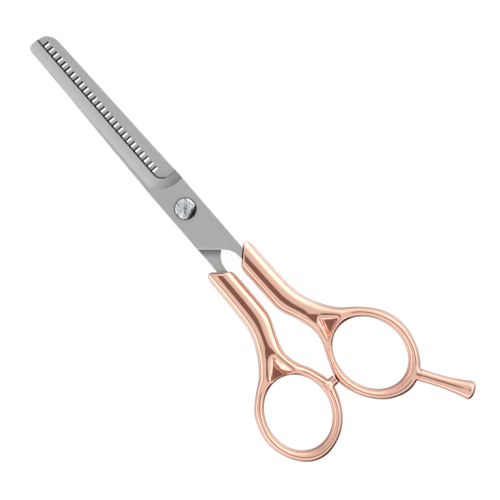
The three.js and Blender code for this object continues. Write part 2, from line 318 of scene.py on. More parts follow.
def near_rim(loops, insets, spacing, add, cut):
    """Points on rows set in from the loops, and a triangular grid over the rest of the region."""
    segments = [segments_of(loop) for loop in (*add, *cut)]
    starts = np.vstack([a for a, _ in segments])
    ends = np.vstack([b for _, b in segments])
    rows = []
    for loop in loops:
        ahead = np.roll(loop, -1, axis=0) - np.roll(loop, 1, axis=0)
        normal = np.stack([-ahead[:, 1], ahead[:, 0]], 1)
        normal /= np.linalg.norm(normal, axis=1)[:, None]
        for inset in insets:
            for way in (1, -1):
                row = loop + normal * inset * way
                rows.append(row[distance(row, starts, ends) > inset * 0.97])
    low, high = np.vstack(add).min(0), np.vstack(add).max(0)
    xs = np.arange(low[0], high[0], spacing)
    ys = np.arange(low[1], high[1], spacing * 0.866)
    grid = np.array([(x + (j % 2) * spacing / 2, y) for j, y in enumerate(ys) for x in xs])
    within = np.any([inside(grid, loop) for loop in add], axis=0)
    for loop in cut:
        within &= ~inside(grid, loop)
    grid = grid[within]
    rows.append(grid[distance(grid, starts, ends) > insets[-1] + spacing * 0.5])
    return np.vstack(rows)


def membrane(xy, tris, load, fixed, start):
    """Solves -div grad u = load on the triangles, with u kept as in start on the fixed points,
    by conjugate gradients. The root of u is a dome whose section across a strip is an ellipse."""
    p = xy[tris]
    heads, tails, weights = [], [], []
    area = np.zeros(len(xy))
    for k in range(3):
        i, j, o = tris[:, k], tris[:, (k + 1) % 3], p[:, (k + 2) % 3]
        a, b = xy[i] - o, xy[j] - o
        cross = np.abs(a[:, 0] * b[:, 1] - a[:, 1] * b[:, 0])
        heads.append(i)
        tails.append(j)
        weights.append(0.5 * np.sum(a * b, 1) / np.maximum(cross, 1e-9))
        area += np.bincount(i, cross / 6, len(xy))
    heads, tails, weights = map(np.concatenate, (heads, tails, weights))
    free = ~fixed
    diagonal = np.bincount(heads, weights, len(xy)) + np.bincount(tails, weights, len(xy))
    diagonal = np.maximum(diagonal, 1e-9)

    def apply(u):
        flow = weights * (u[heads] - u[tails])
        return (np.bincount(heads, flow, len(xy)) - np.bincount(tails, flow, len(xy))) * free

    u = start.copy()
    residual = load * area * free - apply(u)
    z = residual / diagonal
    way, rho = z.copy(), residual @ z
    for _ in range(1500):
        moved = apply(way)
        pace = rho / (way @ moved)
        u += pace * way
        residual -= pace * moved
        z = residual / diagonal
        rho, before = residual @ z, rho
        if rho < 1e-14:
            break
        way = z + (rho / before) * way
    return np.maximum(u, 0)


def plate(xy, tris, top, low, low_shift=None, closed_rim=None):
    """Vertices and faces of a solid between two surfaces over the same triangles. Rim points in
    `closed_rim` are shared by both surfaces; elsewhere a wall joins the rims."""
    count = len(xy)
    shared = np.zeros(count, bool) if closed_rim is None else closed_rim
    under = np.arange(count)
    under[~shared] = count + np.arange((~shared).sum())
    low_xy = xy if low_shift is None else xy + low_shift
    verts = np.vstack([np.column_stack([xy, top]), np.column_stack([low_xy, low])[~shared]])
    faces = [tuple(t) for t in tris] + [tuple(t[::-1]) for t in under[tris]]
    for a, b in rim_edges(tris):
        wall = [a, under[a], under[b], b]
        wall = [v for n, v in enumerate(wall) if v not in wall[:n]]
        if len(wall) > 2:
            faces.append(tuple(wall))
    return verts, faces


def new_object(name, verts, faces, materials):
    mesh = bpy.data.meshes.new(name)
    mesh.from_pydata(verts, [], faces)
    mesh.validate()
    for material in materials:
        mesh.materials.append(material)
    mesh.shade_smooth()
    made = bpy.data.objects.new(name, mesh)
    bpy.context.scene.collection.objects.link(made)
    return made


def add_piece(name, verts, faces, body, slot, materials, nodes, zones=None):
    """Makes a piece, in metres, and hangs it on its body. zones give each face its material."""
    faces = [tuple(int(i) for i in f) for f in faces]
    piece = new_object(name, (np.array(verts) * MM).tolist(), faces, materials)
    if zones is not None:
        piece.data.polygons.foreach_set("material_index", zones)
    piece.data.set_sharp_from_angle(angle=SHARP_ANGLE)
    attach(piece, body)
    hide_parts(*nodes)
    return piece


# ---- cast bows ----

RIM_INSETS = (0.015, 0.06, 0.14, 0.25, 0.39, 0.56, 0.76)
BOW_MESH = 0.24  # spacing of the points over a bow, and along its parts
OUTLINE_MESH = 0.3
STUD_MESH = 0.25
FRONT_MESH = 0.2
POCKET_MESH = 0.13
HOLE_STEPS = 220
FRONT_INSETS = (0.1, 0.2, 0.3, 0.45, 0.62, 0.8)
FRONT_CLEAR = FRONT_INSETS[-1] + 0.1
LINE_CLEAR = 0.06  # no loose point is nearer than this to a line
ON_LINE = 0.02  # a point this near to a line counts as on it
POCKET_REACH = 4.6  # half the size of the grid laid over a pocket
POCKET_MARGIN = 1.0  # it is kept up to this far outside the pocket
AHEAD = (-8, 12, -6)  # far X, outer Y and inner Y of the region ahead of a bow's front
RING_CREST = 0.3  # how far the ring's crest stands off its middle, to the blades
RING_RIDGE = 0.22  # extra rise of that crest to a soft ridge
JUNCTION_DROP = 0.2  # part of the dome's height taken off where arm and ring meet
POCKET_RIM = 2.1  # height of the pocket's rim over the middle plane
STOP = (-64.2, -61.5, -0.5, 2.2)  # the stub that meets the other ring: X and Y ranges
PAD = (-1.5, -0.05, 1.75)  # where the finger rest's pad starts and ends, and its half width
STOP_RISE = 1.25  # height of their domes, per half width
PAD_RISE = 1.0

# Ranges of X over which a bow changes from ring to arm.
THICKEN_X = (-58, -42)
DROP_X = (-60, -52)  # into the lowered junction ...
REGAIN_X = (-44, -38)  # ... and out of it
STRIP_X = (-60, -56)  # from the strip round the hole to the arm's
RING_CREST_X = (-58, -53)  # where the ring's crest ends ...
ARM_CREST_X = (-50, -44)  # ... and the arm's begins
ARM_SIDE_X = -54  # ahead of this the outline is the arm's two sides


def half_width(xy, outer, inner, hole, pocket):
    """Half the width of the strip of metal at each point."""
    a, b, c = to_line(xy, outer), to_line(xy, inner), to_loop(xy, hole)
    nearest = np.sort(np.stack([a, b, c, to_loop(xy, pocket)]), axis=0)
    across_arm = (nearest[0] + nearest[1]) / 2
    across_ring = (np.minimum(a, b) + c) / 2
    return across_ring + (across_arm - across_ring) * step(xy[:, 0], *STRIP_X)


def crest_factor(s, crest):
    """Turns 1 - s^2 into two half ellipses that meet at s = crest."""
    reach = np.where(s > crest, 1 - crest, 1 + crest)
    return (1 - ((s - crest) / reach) ** 2) / np.maximum(1 - s**2, 1e-6)


def between(xy, near_side, far_side):
    """1 on the near side, -1 on the far side and 0 half way, from two open polylines."""
    a, b = to_line(xy, near_side), to_line(xy, far_side)
    return (b - a) / np.maximum(a + b, 1e-6)


def soft_min(a, b, radius):
    """The lower of two surfaces, with the crease between them rounded."""
    h = np.clip(0.5 + 0.5 * (b - a) / radius, 0, 1)
    return b + (a - b) * h - radius * h * (1 - h)


def pocket_surface(xy, spec):
    """Three walls that fall from the rim of the pocket to its flat floor."""
    corners = np.array(spec["pocket"])
    height = np.full(len(xy), spec["floor"])
    for start, end, slope in zip(corners, np.roll(corners, -1, axis=0), spec["walls"]):
        height = np.maximum(height, POCKET_RIM - slope * distance(xy, [start], [end]))
    return height


def front_line(spec):
    """The front edge of a bow from heel to nose, rows of points set back from it, and the
    region ahead of it."""
    side = spec["side"]
    heel, nose = corner(*spec["heel"]), corner(*spec["nose"])
    front = divided(np.vstack([heel, nose]), FRONT_MESH, closed=False)
    way = np.gradient(front, axis=0)
    back = np.stack([-way[:, 1], way[:, 0]], 1) * side
    back /= np.linalg.norm(back, axis=1)[:, None]
    rows = np.vstack([front + back * inset for inset in FRONT_INSETS])
    far_x, outer_y, inner_y = AHEAD[0], side * AHEAD[1], side * AHEAD[2]
    around = [(nose[-1][0], outer_y), (far_x, outer_y), (far_x, inner_y), (heel[0][0], inner_y)]
    return front, rows, divided(np.vstack([heel, nose, around]), OUTLINE_MESH)


def pocket_points(corners, outline, hole):
    """A fine grid of points over a pocket and a margin round it."""
    centre = corners.mean(0)
    grid = np.arange(-POCKET_REACH, POCKET_REACH, POCKET_MESH)
    fine = np.array([(x, y) for x in centre[0] + grid for y in centre[1] + grid * 1.1])
    to_rim = to_loop(fine, corners)
    wanted = (inside(fine, corners) | (to_rim < POCKET_MARGIN)) & (to_rim > LINE_CLEAR)
    fine = fine[wanted & ~inside(fine, hole)]
    return fine[np.minimum(to_loop(fine, outline), to_loop(fine, hole)) > OUTLINE_MESH]


def free_points(xy, outline, studs):
    """Which points lie on a flat end, which has a wall: that of the uncut arm or of a stud."""
    free = xy[:, 0] > outline[0][0] - ON_LINE / 2
    for _, end, _ in studs:
        a, b = (np.array(p, float) for p in end)
        free |= distance(xy, [a], [b]) < ON_LINE
        for p in (a, b):
            free &= np.linalg.norm(xy - p, axis=1) > ON_LINE / 2
    return free


def bow_load(xy, spec, studs, outer, inner, hole):
    """Load under which strips of metal are domed to the same height whatever their width."""
    x = xy[:, 0]
    crown = RING_HALF + (ARM_HALF - RING_HALF) * step(x, *THICKEN_X)
    crown *= 1 - JUNCTION_DROP * (step(x, *DROP_X) - step(x, *REGAIN_X))
    half = half_width(xy, outer, inner, hole, np.array(spec["pocket"]))
    load = 2 * (crown / np.maximum(half, 0.5)) ** 2
    for points, _, rise in studs:
        load = np.where(inside(xy, np.array(points)), 2 * rise**2, load)
    return load


def crested(u, xy, spec, outer, inner, hole):
    """Height of the dome whose square is u, with its crests moved off the middle."""
    sides = [side[side[:, 0] > ARM_SIDE_X] for side in (inner, outer)]
    u = u * crest_factor(between(xy, *sides), spec["crest"] * step(xy[:, 0], *ARM_CREST_X))
    on_ring = 1 - step(xy[:, 0], *RING_CREST_X)
    away = xy - hole.mean(0)
    across = between(xy, np.vstack([hole, hole[:1]]), np.vstack([outer, inner[1:]]))
    crest = RING_CREST * (away[:, 0] / np.linalg.norm(away, axis=1)) * on_ring
    u = u * crest_factor(across, crest)
    height = np.sqrt(np.maximum(u, 0))
    height -= RING_RIDGE * on_ring * np.abs(across - crest) * np.minimum(height, 1)
    return soft_min(height, ARM_HALF, 0.12)


def rounded_front(height, xy, front, spec):
    """The same surface, rounded over at the front down to a flat strip."""
    behind = to_line(xy, front)
    reach, lip = spec["round"]
    rise = np.sqrt(1 - (1 - np.clip(behind / reach, 0, 1)) ** 2)
    return soft_min(height, lip + (ARM_HALF + 0.1 - lip) * rise, 0.1)


def bow(spec, studs):
    """A cast bow: its plan filled with triangles and domed above and below. studs are short
    protrusions with a flat end: (corner points, end line, height of the dome / half width)."""
    outline = smooth(spec["outline"], OUTLINE_MESH)
    hole = ellipse(*spec["hole"], steps=HOLE_STEPS)
    corners = np.array(spec["pocket"])
    mouth = divided(corners, POCKET_MESH)
    front, front_rows, ahead = front_line(spec)
    add = [outline] + [divided(points, STUD_MESH) for points, _, _ in studs]
    loose = near_rim([outline, hole], RIM_INSETS, BOW_MESH, add, [hole])
    loose = loose[to_line(loose, front) > FRONT_CLEAR]
    loose = loose[to_loop(loose, corners) > LINE_CLEAR]
    fine = pocket_points(corners, outline, hole)
    front_rows = front_rows[inside(front_rows, outline)]
    lines = [np.vstack([loop, loop[:1]]) for loop in (ahead, mouth)]
    xy, tris = fill(add, [hole], lines, np.vstack([loose, fine, front_rows]))
    closed = np.zeros(len(xy), bool)
    closed[np.unique(rim_edges(tris))] = True
    closed &= ~free_points(xy, outline, studs)
    in_pocket = inside(xy, corners) | (to_loop(xy, corners) < ON_LINE)
    turn = len(outline) // 2
    edges = outline[:turn + 1], outline[turn:], hole
    load = bow_load(xy, spec, studs, *edges)
    u = membrane(xy, tris, load, closed | in_pocket, np.where(in_pocket, POCKET_RIM**2, 0.0))
    height = rounded_front(crested(u, xy, spec, *edges), xy, front, spec)
    height = np.where(in_pocket, pocket_surface(xy, spec), height)
    height = np.where(closed, 0, np.maximum(height, 0))
    # Everything ahead of the front edge is cut off.
    used, tris = compact(tris[~inside(xy[tris].mean(1), ahead)], len(xy))
    xy, height, closed = xy[used], height[used], closed[used]
    return plate(xy, tris, RIDE + height, RIDE - height, closed_rim=closed)


def thumb_bow(gold):
    x0, x1, y0, y1 = STOP
    stub = ([(x0, y0), (x1, y0), (x1, y1), (x0, y1)], ((x0, y0), (x1, y0)), STOP_RISE)
    return add_piece("thumb_bow_cast", *bow(THUMB_BOW, [stub]), "thumb_half", "rose_gold",
                     [gold], ["thumb_bow"])


def finger_bow(gold):
    along = np.array([math.cos(REST_ANGLE), math.sin(REST_ANGLE)])
    across = np.array([-along[1], along[0]])
    start, end, half = PAD
    corners = ((start, -half), (end, -half), (end, half), (start, half))
    pad = [tuple(np.array(REST_SEAT) + along * a + across * w) for a, w in corners]
    stub = (pad, (pad[1], pad[2]), PAD_RISE)
    return add_piece("finger_bow_cast", *bow(FINGER_BOW, [stub]), "finger_half", "rose_gold",
                     [gold], ["finger_bow"])


# ---- blades ----

EDGE_ROUND = 0.12  # broken edges of the blades
STEP_BEVEL = 0.5  # wider bevel along the slanted step ...
STEP_FALL = 0.27  # ... and its slope
LINE_MESH = 0.5  # spacing of the points along lines, and over each blade
PLAIN_MESH = 0.45
COMB_MESH = 0.5
BORE_STEPS = 64
PLAIN_TIP = (1.9, 2.0)  # rounded tip: its length, and the Y where it ends
COMB_TIP = (3.6, 0.9, -0.3)  # the same, with the cut of the corner between them
COMB_HEEL = (2.6, 2.0, 3.4)  # rounding behind the first tooth: its lengths and Y
COMB_NECK = (3.2, 0.2)  # corner behind it: back from the grind, in from the spine
GRIND_FROM_X = 6  # the grinds lie ahead of this, and the spines past this Y
SPINE_FROM_Y = 2.4
HOLLOW_CURVE = 0.2  # curved part of the hollow grind's rise ...
RELIEF_CURVE = 0.45  # ... and of the comb's relief


def spine_y(x):
    return SPINE_HALF - SPINE_TAPER * max(x - TAPER_X, 0)


def shoulder_x(spec, y):
    """Where the shank, at height y, comes up to the slanted front face of its bow."""
    (x0, y0), (x1, y1) = spec["front"]
    slope = (x1 - x0) / (y1 - y0)
    return x0 + slope * (y - y0) + SHANK_GAP * math.hypot(1, slope)


def shank(spec):
    """Outline from the ricasso's corner down the step and round the shank."""
    s = spec["side"]
    inner, outer = s * SHANK_INNER, s * SHANK_OUTER
    crotch = [(CROTCH_X, 0), (CROTCH_X - 1.5, 0.57 * inner), (CROTCH_X - 3.2, 0.89 * inner),
              (shoulder_x(spec, inner), inner)]
    return [(STEP_X, -s * SPINE_HALF), *smooth(crotch, OUTLINE_MESH),
            (shoulder_x(spec, outer), outer)]


def grind_radius(xy, middle_y):
    """Distance from a grind's middle line, whose start is an ellipse at GRIND_X."""
    x = np.minimum(xy[:, 0] - GRIND_X, 0) / GRIND_SQUASH
    return np.hypot(x, xy[:, 1] - middle_y)


def grind_arc(radius, to_x):
    """A line of constant radius in the plain blade's grind, from the tip round its start."""
    turn = np.linspace(math.pi / 2, math.pi * 1.25, 60)
    x = GRIND_X + radius * GRIND_SQUASH * np.cos(turn)
    y = PLAIN_GRIND_Y + radius * np.sin(turn)
    return np.vstack([[(to_x, PLAIN_GRIND_Y + radius)], np.stack([x, y], 1)])


def broken_edges(xy, height, starts, ends, width, fall=1.0):
    """A flat surface at this height, lowered to a bevel along the given rim segments."""
    return height - fall * np.maximum(width - distance(xy, starts, ends), 0)


def plain_top(xy, outline):
    """Height of the plain blade's face: flat, hollow ground, and the fine bevel to the edge."""
    low, high = PLAIN_Z
    edge_r, crest_r = PLAIN_GRIND_R
    land_r = edge_r + EDGE_LAND
    thin, thick = EDGE_HEIGHTS
    radius = grind_radius(xy, PLAIN_GRIND_Y)
    t = np.clip((radius - land_r) / (crest_r - land_r), 0, 1)
    rise = (1 - HOLLOW_CURVE) * t + HOLLOW_CURVE * t**2
    hollow = low + thick + (high - low - thick) * rise
    bevel = low + thin + (thick - thin) * np.clip((radius - edge_r) / EDGE_LAND, 0, 1)
    top = np.where(radius < land_r, bevel, np.where(radius < crest_r, hollow, high))
    top[xy[:, 0] < GRIND_X - crest_r * GRIND_SQUASH] = high
    # The spine, the tip's back and everything behind the grind have broken edges.
    starts, ends = segments_of(outline)
    spine = (np.abs(starts + ends)[:, 1] / 2 > SPINE_FROM_Y) | (starts[:, 0] < GRIND_FROM_X)
    top = np.minimum(top, broken_edges(xy, high, starts[spine], ends[spine], EDGE_ROUND))
    step_start, step_end = np.array([(STEP_X, SPINE_HALF)]), np.array([(CROTCH_X, 0.0)])
    return np.minimum(top, broken_edges(xy, high, step_start, step_end, STEP_BEVEL, STEP_FALL))


def plain_blade(steel, hollow, shaded_edge_steel):
    edge_r, crest_r = PLAIN_GRIND_R
    land_r = edge_r + EDGE_LAND
    tip_y = spine_y(BLADE_END)
    tip = corner((BLADE_END - PLAIN_TIP[0], tip_y), (BLADE_END, tip_y), (BLADE_END, PLAIN_TIP[1]))
    lower = grind_arc(edge_r, BLADE_END)
    lower = lower[lower[:, 1] > -spine_y(10) - 0.001]
    outline = [*shank(FINGER_BOW)[::-1], (TAPER_X, SPINE_HALF), *tip, *lower,
               (lower[-1][0], -SPINE_HALF + 0.04), (TAPER_X, -SPINE_HALF)]
    outline = divided(outline[::-1], LINE_MESH)
    bore = ellipse(0, 0, BORE_R, BORE_R, steps=BORE_STEPS)
    arcs = [grind_arc(radius, BLADE_END - 0.1) for radius in (land_r, crest_r)]
    lines = [divided(arc[arc[:, 1] > -SPINE_HALF + 0.2], LINE_MESH, closed=False) for arc in arcs]
    loose = near_rim([outline, bore], (EDGE_ROUND, 0.3, STEP_BEVEL), PLAIN_MESH, [outline], [bore])
    xy, tris = fill([outline], [bore], lines, loose)
    verts, faces = plate(xy, tris, plain_top(xy, outline), np.full(len(xy), PLAIN_Z[0]))
    zones = np.zeros(len(faces), np.int32)
    middle = xy[tris].mean(1)
    radius = grind_radius(middle, PLAIN_GRIND_Y)
    # Zone 1 is the hollow grind, with painted shade at its start; zone 2 is the fine bevel, in
    # near-black painted shade.
    zones[:len(tris)][(radius < crest_r) & (middle[:, 0] > GRIND_FROM_X)] = 1
    zones[:len(tris)][(radius < land_r) & (middle[:, 1] > EDGE_FADE_Y)] = 2
    return add_piece("plain_blade_ground", verts, faces, "finger_half", "satin_steel",
                     [steel, hollow, shaded_edge_steel], ["plain_blade"], zones=zones)


def comb_outline():
    spine = -spine_y(BLADE_END)
    length, cut, end_y = COMB_TIP
    tip = corner((BLADE_END - length, spine), (BLADE_END, spine + cut), (BLADE_END, end_y))
    first, second, heel_y = COMB_HEEL
    heel = corner((GRIND_X - first, heel_y), (GRIND_X - second, TOOTH_TIP_Y), (GRIND_X, TOOTH_TIP_Y))
    neck = (GRIND_X - COMB_NECK[0], SPINE_HALF - COMB_NECK[1])
    points = [*shank(THUMB_BOW), (TAPER_X, SPINE_HALF), neck, *heel,
              (BLADE_END - 0.5, TOOTH_TIP_Y), (BLADE_END, TOOTH_TIP_Y - 0.5), *tip[::-1],
              (TAPER_X, -SPINE_HALF)]
    return divided(np.array(points)[::-1], LINE_MESH)


def comb_cuts():
    """Outlines of the slots, with rounded corners, and of the V notches in the tooth tips."""
    cuts = []
    y, r, over = SLOT_END_Y, SLOT_CORNER, TOOTH_TIP_Y + 0.02
    for n in range(SLOTS):
        x0 = FIRST_SLOT + n * SLOT_PITCH - SLOT_TOP / 2
        x1 = x0 + SLOT_TOP
        near_corner = corner((x0, y + r), (x0, y), (x0 + r, y), 4)
        far_corner = corner((x1 - r, y), (x1, y), (x1, y + r), 4)
        cuts.append(np.vstack([near_corner, far_corner, [(x1, 3), (x0, 3)]]))
    for n in range(SLOTS - 1):
        x = FIRST_SLOT + (n + 0.5) * SLOT_PITCH
        point = (x, TOOTH_TIP_Y - NOTCH_DEPTH)
        cuts.append(np.array([(x - NOTCH_HALF, over), point, (x + NOTCH_HALF, over)]))
    return cuts


def comb_blade(steel, slot_walls):
    outline = comb_outline()
    cut = [ellipse(0, 0, BORE_R, BORE_R, steps=BORE_STEPS), *comb_cuts()]
    loose = near_rim([outline], (EDGE_ROUND, 0.3), COMB_MESH, [outline], cut)
    xy, tris = fill([outline], cut, [], loose)
    x, y = xy[:, 0], xy[:, 1]
    low, high = COMB_Z
    top = broken_edges(xy, high, *segments_of(outline), EDGE_ROUND)
    top = np.where((x > GRIND_X) & (y > TOOTH_TIP_Y - 0.4), high, top)
    crest_r = COMB_GRIND_R[1]
    radius = grind_radius(xy, COMB_GRIND_Y)
    t = np.clip((crest_r - radius) / (crest_r - COMB_GRIND_R[0]), 0, 1)
    under = low + COMB_RELIEF * ((1 - RELIEF_CURVE) * t + RELIEF_CURVE * t**2)
    under[x < GRIND_X - crest_r * GRIND_SQUASH] = low
    # Slots narrow towards the underside, on their tip side.
    shift = np.zeros_like(xy)
    for n in range(SLOTS):
        x1 = FIRST_SLOT + n * SLOT_PITCH + SLOT_TOP / 2
        wall = (x > x1 - SLOT_CORNER - 0.01) & (x < x1 + 0.01)
        shift[wall & (y > SLOT_END_Y - 0.01) & (y < TOOTH_TIP_Y + 0.01), 0] = SLOT_LOW - SLOT_TOP
    verts, faces = plate(xy, tris, top, under, low_shift=shift)
    # The walls of the slots get milling marks and a dark base colour of painted shade.
    zones = np.zeros(len(faces), np.int32)
    for n in range(2 * len(tris), len(faces)):
        wall_x, wall_y, _ = verts[list(faces[n])].mean(0)
        in_comb = SLOT_END_Y - 0.1 < wall_y < TOOTH_TIP_Y - 0.05
        zones[n] = in_comb and wall_x > FIRST_SLOT - SLOT_TOP
    return add_piece("comb_blade_slotted", verts, faces, "thumb_half", "satin_steel",
                     [steel, slot_walls], ["comb_blade"], zones=zones)


# ---- turned pieces ----


def ring(radius, height, steps=96):
    """A circle of points about Z. The radius may differ from point to point."""
    turn = np.linspace(0, 2 * math.pi, steps, endpoint=False)
    return np.stack([radius * np.cos(turn), radius * np.sin(turn), np.full(steps, height)], 1)


def threaded(radius, height, steps):
    """The stud's radius at each point of a ring: the thread is a helical groove."""
    turn = np.arange(steps) / steps
    phase = (height / THREAD["pitch"] - turn) % 1
    groove = THREAD["depth"] * (1 - np.abs(2 * phase - 1))
    return radius - groove * (THREAD["start"] <= height <= THREAD["end"])


def lathe(rings, first=None, last=None, closed=False):
    """Vertices and faces of the surface through rings of points: fanned to a first or last
    point on the axis, or closed from the last ring to the first."""
    steps = len(rings[0])
    pairs = [(k, (k + 1) % steps) for k in range(steps)]
    verts, faces = np.vstack(rings).tolist(), []
    for j in range(len(rings) if closed else len(rings) - 1):
        a, b = j * steps, (j + 1) % len(rings) * steps
        faces += [(a + k, a + m, b + m, b + k) for k, m in pairs]
    if first:
        faces += [(len(verts), m, k) for k, m in pairs]
        verts.append(first)
    if last:
        top = (len(rings) - 1) * steps
        faces += [(top + k, top + m, len(verts)) for k, m in pairs]
        verts.append(last)
    return verts, faces


def finger_rest(gold):
    stud = [(STUD_R - 2 * STUD_CHAMFER, -STUD_LENGTH)]
    stud += [(STUD_R, h) for h in np.arange(-STUD_LENGTH + STUD_CHAMFER, -0.1, 0.05)]
    profile = [*stud, (STUD_R, 0.0), *((r, h) for h, r in smooth(REST_PROFILE, 0.12))]
    rings = [ring(threaded(r, h, REST_STEPS), h, REST_STEPS) for r, h in profile]
    verts, faces = lathe(rings, first=(0, 0, -STUD_LENGTH), last=(0, 0, REST_LENGTH))
    axes = Matrix.Rotation(REST_ANGLE, 4, "Z") @ Matrix.Rotation(math.pi / 2, 4, "Y")
    placed = [tuple(axes @ Vector(v) + Vector((*REST_SEAT, RIDE))) for v in verts]
    return add_piece("finger_rest_turned", placed, faces, "rest", "rose_gold",
                     [gold], ["finger_rest"])


def screw_head():
    """The domed top of the head with its slot: points, heights and triangles."""
    slot_half = SLOT_W / 2
    circle = ellipse(0, 0, HEAD_R, HEAD_R, steps=128)
    loose = near_rim([circle], (0.05, 0.15, 0.3, 0.5), HEAD_MESH, [circle], [])
    along = np.array([math.cos(SLOT_ANGLE), math.sin(SLOT_ANGLE)])
    across = np.array([-along[1], along[0]])
    offsets = (-slot_half, -slot_half + SLOT_WALL, slot_half - SLOT_WALL, slot_half)
    lines = [np.array([along * -SLOT_REACH + across * w, along * SLOT_REACH + across * w])
             for w in offsets]
    loose = loose[np.abs(np.abs(loose @ across) - slot_half) > LINE_CLEAR]
    xy, tris = fill([circle], [], [divided(line, 0.2, closed=False) for line in lines], loose)
    dome = HEAD_TOP - HEAD_RISE * (np.linalg.norm(xy, axis=1) / HEAD_R) ** 2
    in_slot = np.abs(xy @ across) < slot_half - 0.02
    return xy, np.where(in_slot, np.minimum(dome, HEAD_TOP - SLOT_DEPTH), dome), tris


def pivot_screw(chrome):
    xy, top, tris = screw_head()
    verts = [tuple(v) for v in np.column_stack([xy, top])]
    faces = [tuple(t) for t in tris]
    edge = rim_edges(tris)
    rim = [edge[0][0]]
    after = {a: b for a, b in edge}
    while after[rim[-1]] != rim[0]:
        rim.append(after[rim[-1]])
    # Under the head's edge the screw is turned, down to its chamfered foot.
    profile = [(HEAD_R, HEAD_LOW + HEAD_CHAMFER), (HEAD_R - HEAD_CHAMFER, HEAD_LOW),
               (SCREW_R, HEAD_LOW), (SCREW_R, SCREW_FOOT + SCREW_CHAMFER),
               (SCREW_R - SCREW_CHAMFER, SCREW_FOOT)]
    above = rim
    for radius, h in profile:
        below = list(range(len(verts), len(verts) + len(rim)))
        verts += [(*(xy[i] * radius / np.linalg.norm(xy[i])), h) for i in rim]
        for k in range(len(rim)):
            m = (k + 1) % len(rim)
            faces.append((above[k], below[k], below[m], above[m]))
        above = below
    faces.append(tuple(above[::-1]))
    return add_piece("tension_screw_slotted", verts, faces, "tension_screw", "polished_steel",
                     [chrome], ["pivot_screw"])


def pivot_washer(nylon):
    low, high = washer_low[2], washer_high[2]
    edge = WASHER_EDGE
    half = [(BORE_R + 0.02, edge), (BORE_R + edge, 0), (WASHER_R - edge, 0), (WASHER_R, edge)]
    section = [(r, low + h) for r, h in half] + [(r, high - h) for r, h in half[::-1]]
    verts, faces = lathe([ring(r, h) for r, h in section], closed=True)
    return add_piece("pivot_washer_moulded", verts, faces, "finger_half", "nylon",
                     [nylon], ["pivot_washer"])


# ---- materials ----


class Nodes:
    """Short calls for building the nodes of a material or of the world."""

    def __init__(self, owner):
        owner.use_nodes = True
        self.owner = owner
        self.tree = owner.node_tree

    def node(self, kind, settings=None, **inputs):
        made = self.tree.nodes.new(kind)
        for key, value in (settings or {}).items():
            setattr(made, key, value)
        for key, value in inputs.items():
            self.put(made, key.replace("_", " "), value)
        return made

    def put(self, node, socket, value):
        target = node.inputs[int(socket) if socket.isdigit() else socket]
        if isinstance(value, bpy.types.NodeSocket):
            self.tree.links.new(value, target)
        else:
            target.default_value = value

    def millimetres(self, scale=(1, 1, 1)):
        """Object coordinates in millimetres, stretched by scale."""
        place = self.node("ShaderNodeTexCoord").outputs["Object"]
        mapping = self.node("ShaderNodeMapping", Vector=place,
                            Scale=tuple(s / MM for s in scale))
        return mapping.outputs["Vector"]

    def noise(self, stretch, scale, detail=4.0, roughness=0.55):
        made = self.node("ShaderNodeTexNoise", Vector=self.millimetres(stretch), Scale=scale,
                         Detail=detail, Roughness=roughness)
        return made.outputs["Fac"]

    def ramp(self, value, low, high, to_low, to_high):
        made = self.node("ShaderNodeMapRange", Value=value, From_Min=low, From_Max=high,
                         To_Min=to_low, To_Max=to_high)
        return made.outputs["Result"]

    def maths(self, operation, a, b=0.5):
        made = self.node("ShaderNodeMath", {"operation": operation})
        self.put(made, "0", a)
        self.put(made, "1", b)
        return made.outputs["Value"]

    def blend(self, factor, a, b, kind="MIX"):
        made = self.node("ShaderNodeMix", {"data_type": "RGBA", "blend_type": kind}, Factor=factor)
        self.put(made, "6", a)
        self.put(made, "7", b)
        return made.outputs[2]

    def darken(self, base, amount):
        """The base colour, scaled by a grey amount."""
        grey = self.node("ShaderNodeCombineColor", Red=amount, Green=amount, Blue=amount)
        return self.blend(1.0, base, grey.outputs["Color"], "MULTIPLY")

    def place(self):
        """X, Y and Z of the point on the piece, in millimetres."""
        return self.node("ShaderNodeSeparateXYZ", Vector=self.millimetres()).outputs

    def towards(self, way):
        """How far the point lies that way across the plan, in millimetres."""
        made = self.node("ShaderNodeVectorMath", {"operation": "DOT_PRODUCT"})
        self.put(made, "0", self.millimetres())
        self.put(made, "1", (*way, 0.0))
        return made.outputs["Value"]

    def bump(self, height, strength, depth_mm, below=None):
        made = self.node("ShaderNodeBump", Height=height, Strength=strength, Distance=depth_mm * MM)
        if below is not None:
            self.put(made, "Normal", below)
        return made.outputs["Normal"]

    def colours(self, value, stops):
        """Colour against value, from (value, colour) stops."""
        made = self.node("ShaderNodeValToRGB", Fac=value)
        elements = made.color_ramp.elements
        while len(elements) < len(stops):
            elements.new(0.5)
        for element, (position, colour) in zip(elements, stops):
            element.position = position
            element.color = (*colour, 1)
        return made.outputs["Color"]

    def finish(self, **inputs):
        for key, value in inputs.items():
            self.put(self.tree.nodes["Principled BSDF"], key.replace("_", " "), value)
        return self.owner


def surface(name):
    return Nodes(bpy.data.materials.new(name))


def scratches(s, stretch, scale, keep):
    """Thin bright lines where stretched noise passes one level."""
    grain = s.noise(stretch, scale, detail=2.0)
    off = s.maths("ABSOLUTE", s.maths("SUBTRACT", grain, 0.5))
    return s.ramp(off, 0.0, keep, 1.0, 0.0)


